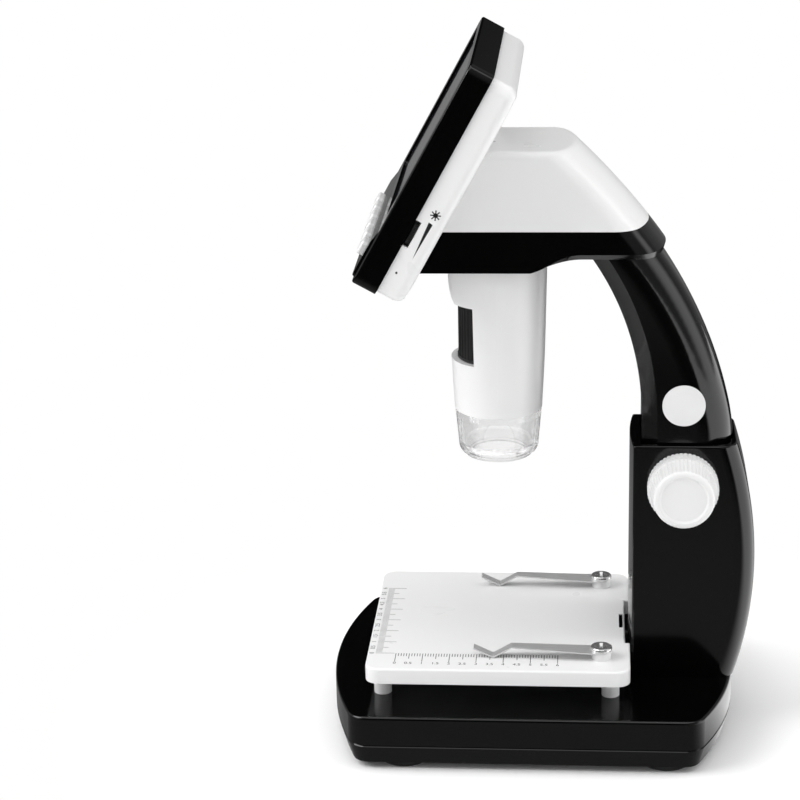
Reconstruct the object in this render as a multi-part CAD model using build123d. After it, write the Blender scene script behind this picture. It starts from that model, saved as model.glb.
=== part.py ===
from build123d import *
import math
import os

# Digital microscope with a tilted display: every piece in one shared frame, millimetres.
# X to the user's right, Y to the back, Z up; origin on the table under the middle of the outline.

os.makedirs("parts", exist_ok=True)

# ---------------------------------------------------------------- clearances and walls
RUN = 0.08              # radial play of a turning or sliding fit
SET = 0.04              # radial play of a piece that is set fast in its hole
GAP = 0.3               # free space between faces that pass one another
WALL = 2.2              # wall of the base and stand mouldings
THIN = 2.0              # wall of the head and display mouldings

# ---------------------------------------------------------------- base
BASE_HALF = 56.0
BASE_FRONT = -78.95
BASE_FRONT_R = 150.0
BASE_BACK = 72.0
BASE_BACK_R = 117.0
BASE_CORNER_R = 8.0
BASE_FLOOR = 2.8
BASE_SPLIT = 10.1
BASE_TOP = 21.7
BASE_ROOF = 2.4
BASE_DRAFT = 2.0
BASE_EDGE = 1.2
BASE_SEAM = 0.35
FOOT_R = 9.5
FOOT_X = 43.0
FOOT_Y = (-50.0, 46.4)
BALLAST = (76.0, 62.0, 3.2)
BALLAST_Y = -14.0

# ---------------------------------------------------------------- stage
STAGE_HALF = 45.7
STAGE_FRONT = -64.15
STAGE_BACK = 33.15
STAGE_TOP = 36.5
STAGE_T = 6.0
STAGE_BOTTOM = STAGE_TOP - STAGE_T
STAGE_CORNER_R = 5.0
STAGE_ROOF = 2.4
POST_X = 33.3
POST_Y = (-58.5, 26.0)
POST_R = 3.3
CLIP_X = 33.3
CLIP_Y = 22.5
CLIP_BOSS_R = 3.7
CLIP_BOSS_H = 2.8
CLIP_T = 0.5
CLIP_END_R = 4.1
CLIP_PIN_R = 1.6
CLIP_HEAD_R = 4.1
CLIP_HEAD_H = 1.5

# ---------------------------------------------------------------- stand column
COL_HALF = 18.0
COL_FRONT = 32.55
COL_TOP = 113.9
COL_BACK_TOP = 71.5
COL_BACK_MID = (78.95, 65.0)
COL_BACK_BOTTOM = 72.3
COL_CORNER_R = 6.8
COL_BOW_R = 125.0
COL_FRONT_EDGE = 0.9
COL_FLOOR = 2.5
NOTCH_HALF = COL_HALF + 1.7
NOTCH_Y = COL_FRONT - 1.1
TONGUE_HALF = 6.0
TONGUE_Y = 29.4
TONGUE_T = 1.1

# ---------------------------------------------------------------- lift drive
SHAFT_Y = 51.85
SHAFT_Z = 98.6
SHAFT_R = 2.5
TRAVEL_DOWN = 12.0
MODULE = 0.8
PINION_TEETH = 15
PITCH_R = MODULE * PINION_TEETH / 2
TOOTH_PITCH = math.pi * MODULE
RACK_HALF = 4.0
RACK_TEETH = 12
BACKLASH = 0.12
KNOB_BACK = COL_HALF + 0.5
KNOB_STEP = KNOB_BACK + 4.3
KNOB_FACE = KNOB_BACK + 14.4
KNOB_R = 13.0
KNOB_CAP_R = 12.2
KNOB_FACE_R = 11.0
KNOB_DISH_R = 8.7
KNOB_DISH = 0.55
KNOB_FLUTES = 50
FLUTE_R = 0.42
FLUTE_OUT = 0.14

# ---------------------------------------------------------------- arm
ARM_HALF = COL_HALF - WALL - GAP + 0.1
ARM_HEAD_HALF = 19.6
ARM_STRAIGHT = 138.0
ARM_TOP = 184.8
ARM_FRONT = 36.75
ARM_FRONT_R = 112.5
ARM_FRONT_Z = 122.0
ARM_BACK = 70.3
ARM_BACK_R = 165.0
ARM_BACK_HIGH = 42.6
ARM_KNEE_Z = 117.8
ARM_BEVEL = 5.6
ARM_BACK_FILLET = 13.5
ARM_TAIL = 64.0
DISC_R = 7.8
DISC_Z = 128.7

# ---------------------------------------------------------------- head
HEAD_HALF = 22.0
HEAD_BOTTOM = 180.2
HEAD_SPLIT = 195.4
HEAD_TOP = 223.9
HEAD_BACK_R = 250.0
HEAD_BACK_HIGH = 12.6
HEAD_BACK_LOW = 46.4
HEAD_BOW_R = 40.0
HEAD_CORNER_R = 10.0
HEAD_TOP_FILLET = 3.0
HEAD_BEVEL = 2.2
RAMP_Y = (-3.5, 15.0)

# ---------------------------------------------------------------- display housing
TILT = 29.0
FACE_Y = -44.0
FACE_Z = 221.4
DISP_HALF = 48.0
DISP_TOP = 44.3
DISP_LOW = -42.9
DISP_MID = (DISP_TOP + DISP_LOW) / 2
DISP_UP = (DISP_TOP - DISP_LOW) / 2
FRONT_DEPTH = 9.2
REAR_DEPTH = 10.3
REAR_STEP = 0.8
REAR_HALF = DISP_HALF - REAR_STEP
REAR_UP = DISP_UP - REAR_STEP
DISP_DEPTH = FRONT_DEPTH + REAR_DEPTH
DISP_CORNER_R = 3.6
REAR_CORNER_R = 4.4
REAR_EDGE = 3.8
GLASS = (80.0, 58.0)
GLASS_UP = 11.7
GLASS_SUNK = 0.85
GLASS_T = 0.6
APERTURE = (71.0, 53.0)
BUTTONS = 6
BUTTON_PITCH = 12.6
BUTTON_UP = -33.2
BUTTON_SIZE = (9.0, 5.0)
BUTTON_PROUD = 3.0
BUTTON_TRAVEL = 0.6
BOARD_BACK = -7.2
BOARD_T = 1.4
WHEEL_R = 6.0
WHEEL_T = 1.5
WHEEL_UP = -17.0
WHEEL_PROUD = 0.4

# ---------------------------------------------------------------- camera barrel
BARREL_Y = -15.95
BARREL_R = 18.05
BARREL_MID_R = 17.2
BARREL_JOINT_R = 16.15
BARREL_JOINT = 123.2
BORE_R = 14.95
WINDOW = (143.0, 165.0)
WINDOW_HALF_ANGLE = 61.5
FOCUS_R = 14.6
FOCUS_BORE_R = 11.4
FOCUS_RIBS = 48
FOCUS_TRAVEL = 4.0
RING_TOP = WINDOW[0] - 0.2
RING_T = 3.0
GUIDE_R = 9.6
SHELF_Z = 166.4
LED_Z = 128.6
LED_R = 12.5
LEDS = 8
CUP_R = 16.0
CUP_LOW_R = 14.75
CUP_LOW = 109.4
CUP_BOTTOM = 105.2
SPIGOT_H = 3.8


# ================================================================ building helpers
def box(x0, x1, y0, y1, z0, z1):
    """A block between two corners."""
    return Pos((x0 + x1) / 2, (y0 + y1) / 2, (z0 + z1) / 2) * Box(x1 - x0, y1 - y0, z1 - z0)


def rod(x, y, z0, z1, r):
    """A round bar along Z."""
    return Pos(x, y, (z0 + z1) / 2) * Cylinder(r, z1 - z0)


def rod_x(x0, x1, y, z, r):
    """A round bar along X."""
    return Pos((x0 + x1) / 2, y, z) * Rot(0, 90, 0) * Cylinder(r, abs(x1 - x0))


def rod_y(y0, y1, x, z, r):
    """A round bar along Y."""
    return Pos(x, (y0 + y1) / 2, z) * Rot(90, 0, 0) * Cylinder(r, abs(y1 - y0))


def both(shape):
    """A piece and its mirror image across the middle plane."""
    return shape + mirror(shape, about=Plane.YZ)


def join(shapes):
    """All given shapes fused together."""
    shapes = list(shapes)
    return shapes[0].fuse(*shapes[1:]) if len(shapes) > 1 else shapes[0]


def lathe(points):
    """A turned body from (radius, z) corners round the Z axis."""
    return revolve(Plane.XZ * make_face(Polyline(*points, close=True)), Axis.Z)


def side_plate(profile, x0, x1):
    """A (y, z) face drawn in the side view and carried from x0 to x1."""
    return Pos(x0, 0, 0) * extrude(Plane.YZ * profile, x1 - x0)


def arc_centre(low, high, radius):
    """Centre of the arc through two (y, z) points that bulges towards the back."""
    run, rise = high[0] - low[0], high[1] - low[1]
    chord = math.hypot(run, rise)
    back = math.sqrt(radius ** 2 - chord ** 2 / 4) / chord
    return (low[0] + high[0]) / 2 - back * rise, (low[1] + high[1]) / 2 + back * run


def edges_near(shape, z, tol=0.01):
    """Edges that lie wholly at one height."""
    return [e for e in shape.edges() if abs(e.bounding_box().min.Z - z) < tol
            and abs(e.bounding_box().max.Z - z) < tol]


def save(name, shape):
    """Write one piece; loose pieces are kept as separate solids of one file."""
    solids = list(shape.solids())
    body = solids[0] if len(solids) == 1 else Compound(children=solids)
    export_step(body, f"parts/{name}.step")


# ================================================================ base
def base_plan(inset):
    """Plan of the base: bowed front and back edges, rounded corners, drawn inset from the outline."""
    half = BASE_HALF - inset
    front = BASE_FRONT + inset
    back = BASE_BACK - inset
    r_front = BASE_FRONT_R - inset
    r_back = BASE_BACK_R - inset
    y_front = front + r_front - math.sqrt(r_front ** 2 - half ** 2)
    y_back = back - r_back + math.sqrt(r_back ** 2 - half ** 2)
    with BuildSketch() as plan:
        with BuildLine():
            ThreePointArc((-half, y_front), (0, front), (half, y_front))
            Line((half, y_front), (half, y_back))
            ThreePointArc((half, y_back), (0, back), (-half, y_back))
            Line((-half, y_back), (-half, y_front))
        make_face()
        fillet(plan.vertices(), BASE_CORNER_R - min(inset, BASE_CORNER_R - 3.0))
    return plan.sketch


def base_slab(inset, z0, z1):
    """An upright slab with the plan of the base."""
    return Pos(0, 0, z0) * extrude(base_plan(inset), z1 - z0)


BASE_SCREWS = [(sx * 30.0, y) for sx in (-1, 1) for y in (-65.0, 58.5)]
COL_FEET = [(sx * 10.5, y) for sx in (-1, 1) for y in (41.5, 63.0)]
POSTS = [(sx * POST_X, y) for sx in (-1, 1) for y in POST_Y]
SCREW_R = 1.2
SCREW_HEAD_R = 2.5
SCREW_HEAD_H = 1.6
BOSS_R = 3.4
BOSS_FOOT = 8.0


def screw(x, y, z_seat, length, up=1):
    """A pan-head screw whose head sits at z_seat and whose shank points up or down."""
    head = rod(x, y, min(z_seat, z_seat - up * SCREW_HEAD_H), max(z_seat, z_seat - up * SCREW_HEAD_H),
               SCREW_HEAD_R)
    return head + rod(x, y, min(z_seat, z_seat + up * length), max(z_seat, z_seat + up * length), SCREW_R)


def base_top_shell():
    shell = base_slab(0, BASE_SPLIT, BASE_TOP)
    shell = fillet(edges_near(shell, BASE_TOP), BASE_EDGE)
    shell = chamfer(edges_near(shell, BASE_SPLIT), BASE_SEAM)
    roof = BASE_TOP - BASE_ROOF
    shell -= base_slab(WALL, BASE_SPLIT - 1, roof)
    for x, y in BASE_SCREWS:
        shell += rod(x, y, BOSS_FOOT, roof, BOSS_R)
        shell -= rod(x, y, BOSS_FOOT - 1, roof - 2.5, SCREW_R + SET)
    for x, y in POSTS + COL_FEET:
        shell -= rod(x, y, roof - 1, BASE_TOP + 1, SCREW_R + GAP)
    return shell


def base_bottom_cover():
    foot = Pos(0, 0, BASE_FLOOR) * base_plan(BASE_DRAFT)
    brow = Pos(0, 0, BASE_SPLIT - BASE_SEAM) * base_plan(0)
    cover = loft([foot, brow]) + loft([brow, Pos(0, 0, BASE_SPLIT) * base_plan(BASE_SEAM)])
    floor = BASE_FLOOR + WALL
    cover -= base_slab(BASE_DRAFT + WALL, floor, BASE_SPLIT + 1)
    rim = base_slab(WALL + 0.2, floor, BASE_SPLIT + 1.8) - base_slab(WALL + 2.2, floor - 1, BASE_SPLIT + 3)
    cover += rim
    for x, y in BASE_SCREWS:
        cover -= rod(x, y, BOSS_FOOT, BASE_SPLIT + 3, BOSS_R + GAP)
        cover += rod(x, y, BASE_FLOOR, BOSS_FOOT, BOSS_R + 0.4)
        cover -= rod(x, y, BASE_FLOOR - 1, BASE_FLOOR + SCREW_HEAD_H + 0.4, SCREW_HEAD_R + GAP)
        cover -= rod(x, y, BASE_FLOOR, BOSS_FOOT + 1, SCREW_R + GAP)
    return cover


def base_screws():
    return join(screw(x, y, BASE_FLOOR + SCREW_HEAD_H + 0.4, 12.0) for x, y in BASE_SCREWS)


def rubber_feet():
    pad = rod(0, 0, 0, BASE_FLOOR, FOOT_R)
    pad = chamfer(edges_near(pad, 0), 0.6)
    return join(Pos(sx * FOOT_X, y, 0) * pad for sx in (-1, 1) for y in FOOT_Y)


def base_ballast():
    floor = BASE_FLOOR + WALL
    plate = box(-BALLAST[0] / 2, BALLAST[0] / 2, -BALLAST[1] / 2, BALLAST[1] / 2, 0, BALLAST[2])
    plate = fillet(plate.edges().filter_by(Axis.Z), 4.0)
    return Pos(0, BALLAST_Y, floor) * plate


# ================================================================ stage
def stage_plan(inset):
    """Plan of the stage plate with the recess for the column in its back edge."""
    mid = (STAGE_FRONT + STAGE_BACK) / 2
    plate = RectangleRounded(2 * (STAGE_HALF - inset), STAGE_BACK - STAGE_FRONT - 2 * inset,
                             STAGE_CORNER_R - inset)
    bite = Rectangle(2 * (NOTCH_HALF + inset), 2 * (STAGE_BACK - NOTCH_Y + inset))
    return Pos(0, mid) * plate - Pos(0, STAGE_BACK) * bite


def stage_plate():
    plate = Pos(0, 0, STAGE_BOTTOM) * extrude(stage_plan(0), STAGE_T)
    plate = fillet(edges_near(plate, STAGE_TOP), 0.8)
    roof = STAGE_TOP - STAGE_ROOF
    plate -= Pos(0, 0, STAGE_BOTTOM - 1) * extrude(stage_plan(WALL), roof - STAGE_BOTTOM + 1)
    slot_y = TONGUE_Y + TONGUE_T / 2
    lip = box(-TONGUE_HALF - 2, TONGUE_HALF + 2, TONGUE_Y - 2, NOTCH_Y - 0.2, STAGE_BOTTOM, roof)
    plate += lip
    for x, y in POSTS:
        plate += rod(x, y, BASE_TOP, roof + 0.5, POST_R)
        plate -= rod(x, y, BASE_TOP - 1, STAGE_BOTTOM, SCREW_R + SET)
    for sx in (-1, 1):
        plate += rod(sx * CLIP_X, CLIP_Y, STAGE_BOTTOM, STAGE_TOP + CLIP_BOSS_H, CLIP_BOSS_R)
        plate -= rod(sx * CLIP_X, CLIP_Y, STAGE_BOTTOM + 1, STAGE_TOP + CLIP_BOSS_H + 1, CLIP_PIN_R + SET)
    slot = box(-TONGUE_HALF - 0.25, TONGUE_HALF + 0.25, slot_y - TONGUE_T / 2 - 0.2,
               slot_y + TONGUE_T / 2 + 0.2, STAGE_BOTTOM - 1, STAGE_TOP + 1)
    return plate - slot


def stage_screws():
    roof = BASE_TOP - BASE_ROOF
    return join(screw(x, y, roof, 9.5) for x, y in POSTS)


CLIP_SEAT = STAGE_TOP + CLIP_BOSS_H + 0.05
CLIP_HALF = (4.0, 2.0)
CLIP_BEND = 33.0
CLIP_TOE = 39.8
CLIP_TIP = 47.0
CLIP_RISE = 1.3


def stage_clip():
    """A leaf spring lying towards the front from a pin at the origin, z measured from its seat."""
    half_t = CLIP_T / 2
    drop = CLIP_SEAT - STAGE_TOP - GAP / 2
    path = FilletPolyline((CLIP_END_R, half_t), (-6, half_t), (-CLIP_BEND, half_t + CLIP_RISE),
                          (-CLIP_TOE, half_t - drop), (-CLIP_TIP, half_t + 0.7), radius=0.9)
    leaf = side_plate(trace(path, CLIP_T), -CLIP_END_R, CLIP_END_R)
    wide, slim = CLIP_HALF
    plan = Polygon((-wide, 0), (-slim, -CLIP_BEND), (-slim, -CLIP_TIP - 1), (slim, -CLIP_TIP - 1),
                   (slim, -CLIP_BEND), (wide, 0), align=None)
    plan += Circle(CLIP_END_R)
    leaf &= Pos(0, 0, -6) * extrude(plan, 12)
    return leaf - rod(0, 0, -1, 2, CLIP_PIN_R + RUN)


def clip_screws():
    head_z = CLIP_SEAT + CLIP_T + 0.05
    head = rod(0, 0, head_z, head_z + CLIP_HEAD_H, CLIP_HEAD_R)
    head = fillet(edges_near(head, head_z + CLIP_HEAD_H), 0.9)
    pin = head + rod(0, 0, STAGE_BOTTOM + 2, head_z, CLIP_PIN_R)
    return join(Pos(sx * CLIP_X, CLIP_Y, 0) * pin for sx in (-1, 1))


# ================================================================ column
def column_side(inset, z0, z1):
    """Side view of the column, drawn inset from its outline."""
    y_top = COL_BACK_TOP - inset
    y_mid = COL_BACK_MID[0] - inset
    y_low = COL_BACK_BOTTOM - inset
    with BuildSketch() as side:
        with BuildLine():
            ThreePointArc((y_low, BASE_TOP), (y_mid, COL_BACK_MID[1]), (y_top, COL_TOP))
            Line((y_top, COL_TOP), (COL_FRONT + inset, COL_TOP))
            Line((COL_FRONT + inset, COL_TOP), (COL_FRONT + inset, BASE_TOP))
            Line((COL_FRONT + inset, BASE_TOP), (y_low, BASE_TOP))
        make_face()
    keep = Pos((COL_FRONT + 95) / 2, (z0 + z1) / 2) * Rectangle(95, z1 - z0)
    return side.sketch & keep


def back_edges(shape, radius, y_min, axis_len):
    """Round the two long upright edges at the back of a shape."""
    long_edges = [e for e in shape.edges() if e.bounding_box().min.Y > y_min
                  and e.bounding_box().size.Z > axis_len and e.bounding_box().size.X < 9.0]
    return fillet(long_edges, radius)


COL_SCREWS = [(42.5, 46.0), (67.0, 46.0), (55.0, 31.5)]
COL_GUIDE = (ARM_FRONT - GAP, ARM_BACK + GAP)


def column_block():
    block = side_plate(column_side(0, BASE_TOP, COL_TOP), -COL_HALF, COL_HALF)
    block = back_edges(block, COL_CORNER_R, 70.0, 60.0)
    block &= rod(0, COL_FRONT + COL_BOW_R, BASE_TOP, COL_TOP, COL_BOW_R)
    front = block.edges().filter_by(Axis.Z).group_by(Axis.Y)[0]
    block = fillet(front, COL_FRONT_EDGE)
    block = fillet(edges_near(block, COL_TOP), 0.7)
    inner = COL_HALF - WALL + 0.1
    hollow = side_plate(column_side(WALL, BASE_TOP + COL_FLOOR, COL_TOP), -inner, inner)
    hollow = back_edges(hollow, COL_CORNER_R - WALL, 66.0, 60.0)
    hollow &= box(-inner, inner, COL_GUIDE[0], 90, 0, 200)
    for x in (-8.0, 8.0):
        hollow -= box(x - 1, x + 1, COL_GUIDE[1], 90, BASE_TOP, COL_TOP)
    guide = box(-inner, inner, COL_GUIDE[0], COL_GUIDE[1], BASE_TOP + COL_FLOOR, COL_TOP + 1)
    guide = fillet(guide.edges().filter_by(Axis.Z).group_by(Axis.Y)[-1], ARM_BACK_FILLET - 2.0)
    block -= hollow
    block -= guide
    tongue_low = BASE_TOP + 4.0
    block += box(-TONGUE_HALF, TONGUE_HALF, TONGUE_Y, TONGUE_Y + TONGUE_T, tongue_low, STAGE_TOP - 0.3)
    block += box(-TONGUE_HALF, TONGUE_HALF, TONGUE_Y, COL_FRONT + 1, tongue_low, STAGE_BOTTOM - 1.0)
    for x, y in COL_FEET:
        block += rod(x, y, BASE_TOP, BASE_TOP + 9.0, BOSS_R - 0.2)
        block -= rod(x, y, BASE_TOP - 1, BASE_TOP + 8.0, SCREW_R + SET)
    block -= rod_x(-COL_HALF - 1, COL_HALF + 1, SHAFT_Y, SHAFT_Z, SHAFT_R + RUN)
    for y, z in COL_SCREWS:
        block += rod_x(-inner - 0.5, inner + 0.5, y, z, BOSS_R - 0.2)
        block -= rod_x(-COL_HALF - 1, 12.0, y, z, SCREW_R + SET)
        block -= rod_x(-COL_HALF - 1, 0, y, z, SCREW_R + GAP)
        block -= rod_x(-COL_HALF - 1, -COL_HALF + 2.6, y, z, SCREW_HEAD_R + GAP)
    return block


def column_screws():
    seat = -COL_HALF + 2.6
    bodies = []
    for y, z in COL_SCREWS:
        bodies.append(rod_x(seat - SCREW_HEAD_H, seat, y, z, SCREW_HEAD_R) + rod_x(seat, 10.0, y, z, SCREW_R))
    return join(bodies)


def column_base_screws():
    roof = BASE_TOP - BASE_ROOF
    return join(screw(x, y, roof, 9.0) for x, y in COL_FEET)


# ================================================================ lift drive
def knob_profile(depth, step):
    """Half section of the knob's tapered front part, with its rounded rim and its shallow dish."""
    with BuildSketch() as section:
        with BuildLine():
            Polyline((0, 0), (KNOB_CAP_R, 0), (KNOB_CAP_R, step), (KNOB_FACE_R, depth),
                     (KNOB_DISH_R + 0.3, depth), (KNOB_DISH_R - 0.5, depth - KNOB_DISH),
                     (0, depth - KNOB_DISH), (0, 0))
        make_face()
        rim = [v for v in section.vertices() if v.X > KNOB_DISH_R - 1 and v.Y > step + 1]
        fillet([v for v in rim if v.X > KNOB_DISH_R + 1], 1.6)
        fillet([v for v in rim if v.X < KNOB_DISH_R + 1], 0.7)
    return section.sketch


def knob_blank():
    """A fluted knob standing on the XY plane with its axis along Z."""
    depth = KNOB_FACE - KNOB_BACK
    step = KNOB_STEP - KNOB_BACK
    skirt = Circle(KNOB_R) - [p * Circle(FLUTE_R) for p in PolarLocations(KNOB_R + FLUTE_OUT, KNOB_FLUTES)]
    front = revolve(Plane.XZ * knob_profile(depth, step), Axis.Z)
    length = depth - step
    lean = math.degrees(math.atan2(KNOB_CAP_R - KNOB_FACE_R, length))
    mid_r = (KNOB_CAP_R + KNOB_FACE_R) / 2 + FLUTE_OUT
    flute = Pos(0, 0, step + length / 2 + 0.3) * Rot(0, -lean, 0) * Cylinder(FLUTE_R, length)
    front -= [p * flute for p in PolarLocations(mid_r, KNOB_FLUTES)]
    knob = front + extrude(skirt, step)
    knob -= rod(0, 0, -1, 3.4, KNOB_R - 2.0) - rod(0, 0, -2, 4, 5.4)
    knob -= rod(0, 0, -1, 8.2, SHAFT_R + SET)
    return knob


def knob_right():
    return Pos(KNOB_BACK, SHAFT_Y, SHAFT_Z) * Rot(0, 90, 0) * knob_blank()


def knob_shaft():
    reach = KNOB_BACK + 8.1
    shaft = rod_x(-reach, reach, SHAFT_Y, SHAFT_Z, SHAFT_R)
    return chamfer(shaft.edges().filter_by(GeomType.CIRCLE), 0.3)


def knob_washers():
    x0 = COL_HALF + 0.05
    ring = rod_x(x0, KNOB_BACK - 0.05, SHAFT_Y, SHAFT_Z, 5.0)
    ring -= rod_x(x0 - 1, x0 + 1, SHAFT_Y, SHAFT_Z, SHAFT_R + 0.15)
    return both(ring)


def involute(angle):
    return math.tan(angle) - angle


def gear_face():
    """Outline of the pinion in the side view, one tooth pointing at the rack."""
    press = math.radians(20)
    base_r = PITCH_R * math.cos(press)
    root_r = PITCH_R - 1.25 * MODULE
    tip_r = PITCH_R + MODULE
    half = (TOOTH_PITCH / 2 - BACKLASH) / 2 / PITCH_R
    steps = [base_r + (tip_r - base_r) * k / 4 for k in range(5)]
    flank = [(root_r, half + involute(press))]
    flank += [(r, half + involute(press) - involute(math.acos(base_r / r))) for r in steps]
    points = []
    for tooth in range(PINION_TEETH):
        mid = math.pi + 2 * math.pi * tooth / PINION_TEETH
        points += [(r * math.cos(mid - a), r * math.sin(mid - a)) for r, a in flank]
        points += [(r * math.cos(mid + a), r * math.sin(mid + a)) for r, a in reversed(flank)]
    return make_face(Polyline(*points, close=True))


def pinion():
    gear = side_plate(Pos(SHAFT_Y, SHAFT_Z) * gear_face(), -RACK_HALF, RACK_HALF)
    hub = rod_x(-RACK_HALF - 3.0, RACK_HALF + 3.0, SHAFT_Y, SHAFT_Z, PITCH_R - 1.6)
    return gear + hub - rod_x(-20, 20, SHAFT_Y, SHAFT_Z, SHAFT_R + SET)


RACK_LINE = SHAFT_Y - PITCH_R
RACK_ROOT = RACK_LINE - 1.25 * MODULE
RACK_SEAT = ARM_FRONT + WALL
RACK_LOW = SHAFT_Z - 4 * TOOTH_PITCH
RACK_HIGH = RACK_LOW + RACK_TEETH * TOOTH_PITCH
RACK_SCREWS = (RACK_LOW + 5.0, RACK_HIGH - 5.0)


def rack():
    half = TOOTH_PITCH / 4 - BACKLASH / 2
    lean = math.tan(math.radians(20))
    tip = RACK_LINE + MODULE
    points = [(RACK_SEAT, RACK_LOW)]
    for k in range(RACK_TEETH):
        z = RACK_LOW + (k + 0.5) * TOOTH_PITCH
        foot = half + (RACK_LINE - RACK_ROOT) * lean
        head = half - (tip - RACK_LINE) * lean
        points += [(RACK_ROOT, z - foot), (tip, z - head), (tip, z + head), (RACK_ROOT, z + foot)]
    points.insert(1, (RACK_ROOT, RACK_LOW))
    points += [(RACK_ROOT, RACK_HIGH), (RACK_SEAT, RACK_HIGH)]
    bar = side_plate(make_face(Polyline(*points, close=True)), -RACK_HALF, RACK_HALF)
    for z in RACK_SCREWS:
        bar -= rod_y(RACK_SEAT - 1, RACK_SEAT + 4.6, 0, z, SCREW_R + SET)
    return bar


def rack_screws():
    bodies = []
    for z in RACK_SCREWS:
        cone = Pos(0, ARM_FRONT + 0.7, z) * Rot(90, 0, 0) * Cone(SCREW_R, 2.3, 1.2)
        bodies.append(cone + rod_y(ARM_FRONT + 0.8, RACK_SEAT + 4.5, 0, z, SCREW_R))
    return join(bodies)


# ================================================================ arm
def arm_front_y(z, inset=0.0):
    rise = max(z - ARM_FRONT_Z, 0)
    return ARM_FRONT - ARM_FRONT_R + math.sqrt((ARM_FRONT_R + inset) ** 2 - rise ** 2)


ARM_BACK_CENTRE = arc_centre((ARM_BACK, ARM_KNEE_Z), (ARM_BACK_HIGH, ARM_TOP), ARM_BACK_R)


def arm_back_y(z, inset=0.0):
    y, z0 = ARM_BACK_CENTRE
    return y + math.sqrt((ARM_BACK_R - inset) ** 2 - (z - z0) ** 2)


def arm_flare(z):
    """Half width of the arm at one height."""
    rise = ARM_TOP - ARM_STRAIGHT
    spread = ARM_HEAD_HALF - ARM_HALF
    radius = (rise ** 2 + spread ** 2) / (2 * spread)
    above = max(z - ARM_STRAIGHT, 0)
    return ARM_HALF + radius - math.sqrt(radius ** 2 - above ** 2)


def arm_side(inset, low, top):
    """Side view of the arm: hollow front curve, straight tail, swept back."""
    y_knee, z0 = ARM_BACK_CENTRE
    z_knee = z0 + math.sqrt((ARM_BACK_R - inset) ** 2 - (ARM_BACK - inset - y_knee) ** 2)
    z_arc = (ARM_FRONT_Z + top) / 2
    z_mid = (z_knee + top) / 2
    knee = (ARM_BACK - inset, z_knee)
    with BuildSketch() as side:
        with BuildLine():
            Line((ARM_FRONT + inset, low), (ARM_FRONT + inset, ARM_FRONT_Z))
            ThreePointArc((ARM_FRONT + inset, ARM_FRONT_Z), (arm_front_y(z_arc, inset), z_arc),
                          (arm_front_y(top, inset), top))
            Line((arm_front_y(top, inset), top), (arm_back_y(top, inset), top))
            ThreePointArc((arm_back_y(top, inset), top), (arm_back_y(z_mid, inset), z_mid), knee)
            Line(knee, (ARM_BACK - inset, low))
            Line((ARM_BACK - inset, low), (ARM_FRONT + inset, low))
        make_face()
        fillet([v for v in side.vertices() if abs(v.Y - z_knee) < 0.01], 60.0)
    return side.sketch


def arm_front_view(inset, low, top):
    """Front view of the arm: straight tail flaring out towards the head."""
    half = ARM_HALF - inset
    z_mid = (ARM_STRAIGHT + top) / 2
    with BuildSketch() as view:
        with BuildLine():
            Line((-half, low), (half, low))
            Line((half, low), (half, ARM_STRAIGHT))
            ThreePointArc((half, ARM_STRAIGHT), (arm_flare(z_mid) - inset, z_mid),
                          (arm_flare(top) - inset, top))
            Line((arm_flare(top) - inset, top), (inset - arm_flare(top), top))
            ThreePointArc((inset - arm_flare(top), top), (inset - arm_flare(z_mid), z_mid),
                          (-half, ARM_STRAIGHT))
            Line((-half, ARM_STRAIGHT), (-half, low))
        make_face()
    return view.sketch


def arm_block(inset, low, top):
    """The arm as one solid: bevelled along the front, rounded along the back."""
    block = side_plate(arm_side(inset, low, top), -30, 30)
    block &= extrude(Plane.XZ * arm_front_view(inset, low, top), 100, both=True)
    front = [e for e in block.edges() if e.bounding_box().size.Z > 10 and
             arm_front_y(e.center().Z, inset) + 6 > e.center().Y]
    block = chamfer(front, ARM_BEVEL - 0.59 * inset)
    back = [e for e in block.edges() if e.bounding_box().size.Z > 3 and
            arm_back_y(max(e.center().Z, 110), inset) - 3 < e.center().Y]
    return fillet(back, ARM_BACK_FILLET - inset)


def arm_front_zone():
    """Everything ahead of a line just behind the crease of the arm's front bevel."""
    z_mid = (ARM_FRONT_Z + ARM_TOP) / 2
    depth = ARM_BEVEL + 0.2
    crease = ARM_FRONT + depth
    with BuildSketch() as zone:
        with BuildLine():
            Line((0, ARM_TAIL - 1), (crease, ARM_TAIL - 1))
            Line((crease, ARM_TAIL - 1), (crease, ARM_FRONT_Z))
            ThreePointArc((crease, ARM_FRONT_Z), (arm_front_y(z_mid, depth), z_mid),
                          (arm_front_y(ARM_TOP, depth), ARM_TOP))
            Line((arm_front_y(ARM_TOP, depth), ARM_TOP), (0, ARM_TOP))
            Line((0, ARM_TOP), (0, ARM_TAIL - 1))
        make_face()
    return side_plate(zone.sketch, -30, 30)


ARM_LID = 3.0
ARM_SCREWS = [(sx * 11.5, y) for sx in (-1, 1) for y in (29.7, 36.3)]


def arm_shell():
    return arm_block(0, ARM_TAIL, ARM_TOP) - arm_block(WALL, ARM_TAIL - 1, ARM_TOP - ARM_LID)


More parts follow.
